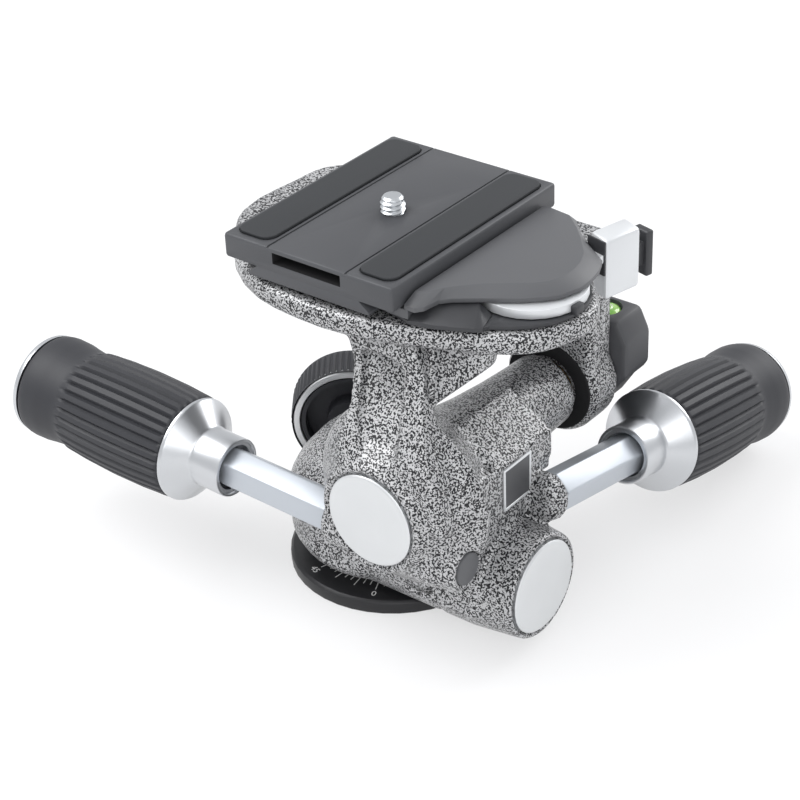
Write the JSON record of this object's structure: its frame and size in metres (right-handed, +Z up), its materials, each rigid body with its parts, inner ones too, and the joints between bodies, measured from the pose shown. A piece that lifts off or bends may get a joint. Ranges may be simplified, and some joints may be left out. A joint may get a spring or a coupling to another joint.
{
  "type": "three way pan tilt head",
  "caption": "Tripod head that pans on a scaled base, tilts and rolls on two horizontal barrels, with two long twist grips, a pan knob, a bubble level and a quick release camera plate.",
  "frame": {"origin": "centre of the base disc's underside, on the pan axis", "axes": "+Z up along the pan axis; +X along the tilt axis, away from the left handle; +Y along the roll axis, the way the right handle points"},
  "size_m": [0.1654, 0.1606, 0.1132],
  "materials": {
    "hammertone": "black and silver hammered paint, satin",
    "black_anodised": "black anodised, fine matt",
    "grey_plastic": "fine spark texture",
    "rubber": "matt, ribbed on the grips",
    "satin_silver": "clear anodised, satin turned",
    "steel": "turned",
    "brass": "turned",
    "nylon": "natural",
    "vial_green": "clear window over green liquid",
    "badge_dark": "dark face inside a bright border, bare"
  },
  "bodies": {
    "base": {"base_disc": "black_anodised", "thread_bush": "brass", "pan_spindle": "steel", "pan_washer": "nylon", "base_screw_1": "steel", "base_screw_2": "steel", "base_screw_3": "steel"},
    "pan": {"pan_housing": "hammertone", "tilt_axle": "steel", "pan_clamp_shoe": "brass"},
    "pan_knob_body": {"pan_knob": "rubber", "pan_knob_ring": "satin_silver", "pan_stud": "steel"},
    "tilt": {"tilt_casting": "hammertone", "tilt_bushing": "brass", "tilt_end_cap": "satin_silver", "badge_plate": "badge_dark", "roll_axle": "steel"},
    "tilt_handle": {"tilt_handle_rod": "satin_silver", "tilt_handle_ferrule": "satin_silver", "tilt_handle_grip": "rubber", "tilt_handle_end_cap": "satin_silver"},
    "platform": {"platform_casting": "hammertone", "roll_bushing": "brass", "roll_end_cap": "satin_silver", "bore_plug": "grey_plastic", "level_housing": "grey_plastic", "level_vial": "vial_green", "clamp_base": "black_anodised", "clamp_screw_1": "steel", "clamp_screw_2": "steel", "clamp_screw_3": "steel", "clamp_screw_4": "steel", "clamp_cover": "grey_plastic", "lever_pin": "steel"},
    "roll_handle": {"roll_handle_rod": "satin_silver", "roll_handle_ferrule": "satin_silver", "roll_handle_grip": "rubber", "roll_handle_end_cap": "satin_silver"},
    "lever": {"clamp_lever": "satin_silver"},
    "catch": {"safety_catch": "black_anodised"},
    "jaw": {"sliding_jaw": "black_anodised"},
    "plate": {"camera_plate": "black_anodised", "plate_pad_1": "rubber", "plate_pad_2": "rubber"},
    "camera_screw_body": {"camera_screw": "steel"}
  },
  "joints": [
    {"name": "pan_turn", "type": "hinge", "parent": "base", "child": "pan", "pos_m": [0, 0, 0.02], "axis": [0, 0, 1], "continuous": true},
    {"name": "pan_knob_turn", "type": "hinge", "parent": "pan", "child": "pan_knob_body", "pos_m": [-0.01038, -0.00782, 0.0268], "axis": [-0.6018, 0.7986, 0], "range_deg": [0, 180]},
    {"name": "tilt_turn", "type": "hinge", "parent": "pan", "child": "tilt", "pos_m": [0.03, -0.0113, 0.0187], "axis": [1, 0, 0], "range_deg": [-25, 50]},
    {"name": "tilt_handle_twist", "type": "hinge", "parent": "tilt", "child": "tilt_handle", "pos_m": [0.0505, 0, 0.038], "axis": [0, 0.9806, -0.1959], "range_deg": [0, 180]},
    {"name": "roll_turn", "type": "hinge", "parent": "tilt", "child": "platform", "pos_m": [0.0273, 0, 0.0463], "axis": [0, 1, 0], "range_deg": [-10, 25]},
    {"name": "roll_handle_twist", "type": "hinge", "parent": "platform", "child": "roll_handle", "pos_m": [0.008, -0.0342, 0.035], "axis": [-0.9993, 0, 0.0384], "range_deg": [0, 180]},
    {"name": "lever_swing", "type": "hinge", "parent": "platform", "child": "lever", "pos_m": [0.0477, -0.0015, 0.0975], "axis": [0, 0, 1], "range_deg": [-100, 0]},
    {"name": "safety_catch_slide", "type": "slide", "parent": "lever", "child": "catch", "axis": [-0.2419, -0.9703, 0], "range_m": [0, 0.0015], "stiffness_N_per_m": 200},
    {"name": "jaw_slide", "type": "slide", "parent": "platform", "child": "jaw", "axis": [1, 0, 0], "range_m": [0, 0.002]},
    {"name": "plate_slide", "type": "slide", "parent": "platform", "child": "plate", "axis": [0, 1, 0], "range_m": [-0.01, 0.01]},
    {"name": "camera_screw_turn", "type": "hinge", "parent": "plate", "child": "camera_screw_body", "pos_m": [0.004, -0.0006, 0.1019], "axis": [0, 0, 1], "continuous": true}
  ],
  "couplings": [
    {"joint": "jaw_slide", "follows": "lever_swing", "m_per_rad": -0.00114}
  ]
}
